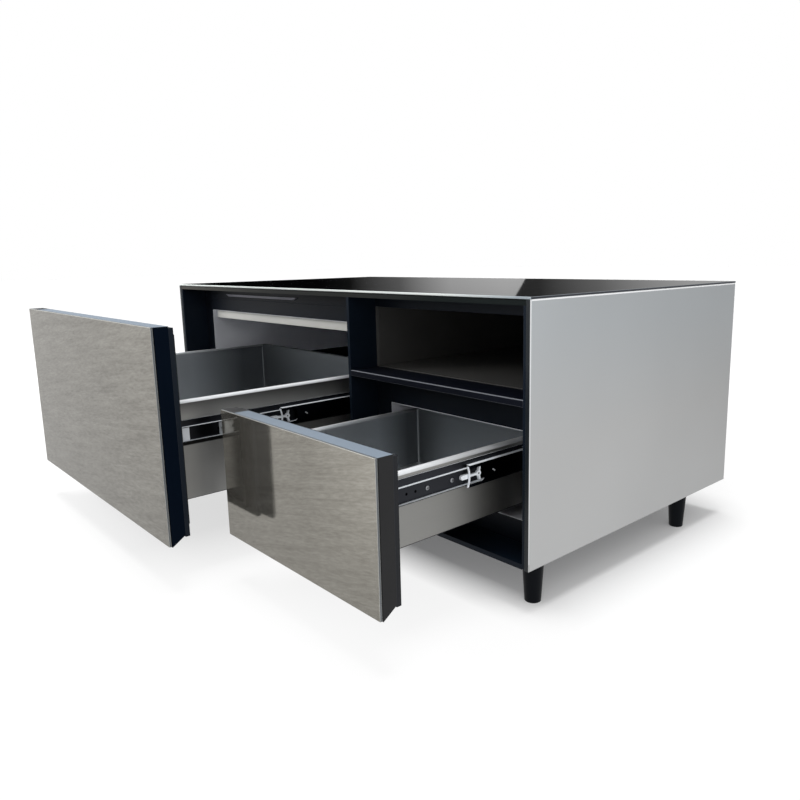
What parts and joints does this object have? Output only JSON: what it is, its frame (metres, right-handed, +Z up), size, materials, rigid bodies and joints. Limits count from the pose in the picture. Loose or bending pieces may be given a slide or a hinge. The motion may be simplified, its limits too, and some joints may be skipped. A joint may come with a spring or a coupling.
{
  "type": "refrigerator coffee table",
  "caption": "Low coffee table with a black glass top, steel sides and conical legs, an open niche and cold drawers on telescopic slides with a cooling unit behind them.",
  "frame": {"origin": "on the floor, in the middle of the footprint with both drawers open as they rest", "axes": "+X left to right seen from the front, +Y from front to back, +Z up"},
  "size_m": [1.3, 1.091, 0.527],
  "materials": {
    "top_glass": "gloss",
    "front_glass": "gloss",
    "side_steel": "satin",
    "black_board": "satin",
    "black_plastic": "satin",
    "grey_plastic": "satin",
    "white_plastic": "satin",
    "liner_metal": "satin",
    "lamp_plastic": "satin",
    "drawer_steel": "satin",
    "slide_steel": "satin",
    "screw_steel": "satin",
    "seal_rubber": "matte",
    "foam": "matte",
    "leg_metal": "satin",
    "back_metal": "matte",
    "compressor_metal": "satin",
    "fin_aluminium": "satin",
    "pipe_copper": "satin"
  },
  "bodies": {
    "cabinet": {"side_skin_left": "side_steel", "side_skin_right": "side_steel", "inner_side_panels": "black_board", "top_panel": "black_board", "glass_top": "top_glass", "base_panel": "black_board", "back_panel": "back_metal", "centre_divider": "black_board", "niche_shelf": "black_board", "niche_lining": "black_board", "face_frame": "black_plastic", "header_panel": "black_plastic", "bay_light": "lamp_plastic", "control_strip": "lamp_plastic", "drawer_liners": "liner_metal", "insulation": "foam", "compressor": "compressor_metal", "compressor_feet": "seal_rubber", "condenser": "fin_aluminium", "fan_shroud": "black_plastic", "fan_motor": "black_plastic", "evaporators": "fin_aluminium", "refrigerant_pipes": "pipe_copper", "control_box": "black_plastic", "power_inlet": "black_plastic", "leg_front_left": "leg_metal", "leg_front_right": "leg_metal", "leg_rear_left": "leg_metal", "leg_rear_right": "leg_metal", "cabinet_screws": "screw_steel", "slide_cabinet_members": "slide_steel"},
    "left_drawer": {"left_front_plate": "front_glass", "left_front_casing": "black_plastic", "left_rear_cover": "black_plastic", "left_gasket": "seal_rubber", "left_box_walls": "drawer_steel", "left_box_floor": "drawer_steel", "left_drawer_members": "slide_steel", "left_slide_screws": "screw_steel"},
    "left_middle": {"left_middle_members": "slide_steel", "left_end_bumpers": "white_plastic"},
    "left_outer_cage": {"left_outer_cages": "slide_steel"},
    "left_inner_cage": {"left_inner_cages": "slide_steel"},
    "left_drawer_left_lever": {"left_lever_left": "white_plastic"},
    "left_drawer_right_lever": {"left_lever_right": "white_plastic"},
    "right_drawer": {"right_front_plate": "front_glass", "right_front_casing": "black_plastic", "right_rear_cover": "black_plastic", "right_gasket": "seal_rubber", "right_box_walls": "drawer_steel", "right_box_floor": "drawer_steel", "right_drawer_members": "slide_steel", "right_slide_screws": "screw_steel"},
    "right_middle": {"right_middle_members": "slide_steel", "right_end_bumpers": "white_plastic"},
    "right_outer_cage": {"right_outer_cages": "slide_steel"},
    "right_inner_cage": {"right_inner_cages": "slide_steel"},
    "right_drawer_left_lever": {"right_lever_left": "white_plastic"},
    "right_drawer_right_lever": {"right_lever_right": "white_plastic"},
    "fan_rotor": {"fan_rotor": "black_plastic"}
  },
  "joints": [
    {"name": "left_drawer_slide", "type": "slide", "parent": "cabinet", "child": "left_drawer", "axis": [0, -1, 0], "range_m": [-0.414, 0.136]},
    {"name": "left_middle_slide", "type": "slide", "parent": "cabinet", "child": "left_middle", "axis": [0, -1, 0], "range_m": [-0.207, 0.068]},
    {"name": "left_outer_cage_slide", "type": "slide", "parent": "cabinet", "child": "left_outer_cage", "axis": [0, -1, 0], "range_m": [-0.1035, 0.034]},
    {"name": "left_inner_cage_slide", "type": "slide", "parent": "cabinet", "child": "left_inner_cage", "axis": [0, -1, 0], "range_m": [-0.3105, 0.102]},
    {"name": "left_drawer_left_lever_hinge", "type": "hinge", "parent": "left_drawer", "child": "left_drawer_left_lever", "pos_m": [-0.58235, -0.2675, 0.278], "axis": [1, 0, 0], "range_deg": [-6, 6], "stiffness_Nm_per_rad": 0.1},
    {"name": "left_drawer_right_lever_hinge", "type": "hinge", "parent": "left_drawer", "child": "left_drawer_right_lever", "pos_m": [0.11435, -0.2675, 0.278], "axis": [1, 0, 0], "range_deg": [-6, 6], "stiffness_Nm_per_rad": 0.1},
    {"name": "right_drawer_slide", "type": "slide", "parent": "cabinet", "child": "right_drawer", "axis": [0, -1, 0], "range_m": [-0.307, 0.043]},
    {"name": "right_middle_slide", "type": "slide", "parent": "cabinet", "child": "right_middle", "axis": [0, -1, 0], "range_m": [-0.1535, 0.0215]},
    {"name": "right_outer_cage_slide", "type": "slide", "parent": "cabinet", "child": "right_outer_cage", "axis": [0, -1, 0], "range_m": [-0.07675, 0.01075]},
    {"name": "right_inner_cage_slide", "type": "slide", "parent": "cabinet", "child": "right_inner_cage", "axis": [0, -1, 0], "range_m": [-0.23025, 0.03225]},
    {"name": "right_drawer_left_lever_hinge", "type": "hinge", "parent": "right_drawer", "child": "right_drawer_left_lever", "pos_m": [0.22865, -0.1855, 0.239], "axis": [1, 0, 0], "range_deg": [-6, 6], "stiffness_Nm_per_rad": 0.1},
    {"name": "right_drawer_right_lever_hinge", "type": "hinge", "parent": "right_drawer", "child": "right_drawer_right_lever", "pos_m": [0.57135, -0.1855, 0.239], "axis": [1, 0, 0], "range_deg": [-6, 6], "stiffness_Nm_per_rad": 0.1},
    {"name": "fan_spin", "type": "hinge", "parent": "cabinet", "child": "fan_rotor", "pos_m": [0.5543, 0.4425, 0.169], "axis": [1, 0, 0], "continuous": true}
  ],
  "couplings": [
    {"joint": "left_middle_slide", "follows": "left_drawer_slide", "ratio": 0.5},
    {"joint": "left_outer_cage_slide", "follows": "left_drawer_slide", "ratio": 0.25},
    {"joint": "left_inner_cage_slide", "follows": "left_drawer_slide", "ratio": 0.75},
    {"joint": "right_middle_slide", "follows": "right_drawer_slide", "ratio": 0.5},
    {"joint": "right_outer_cage_slide", "follows": "right_drawer_slide", "ratio": 0.25},
    {"joint": "right_inner_cage_slide", "follows": "right_drawer_slide", "ratio": 0.75}
  ]
}
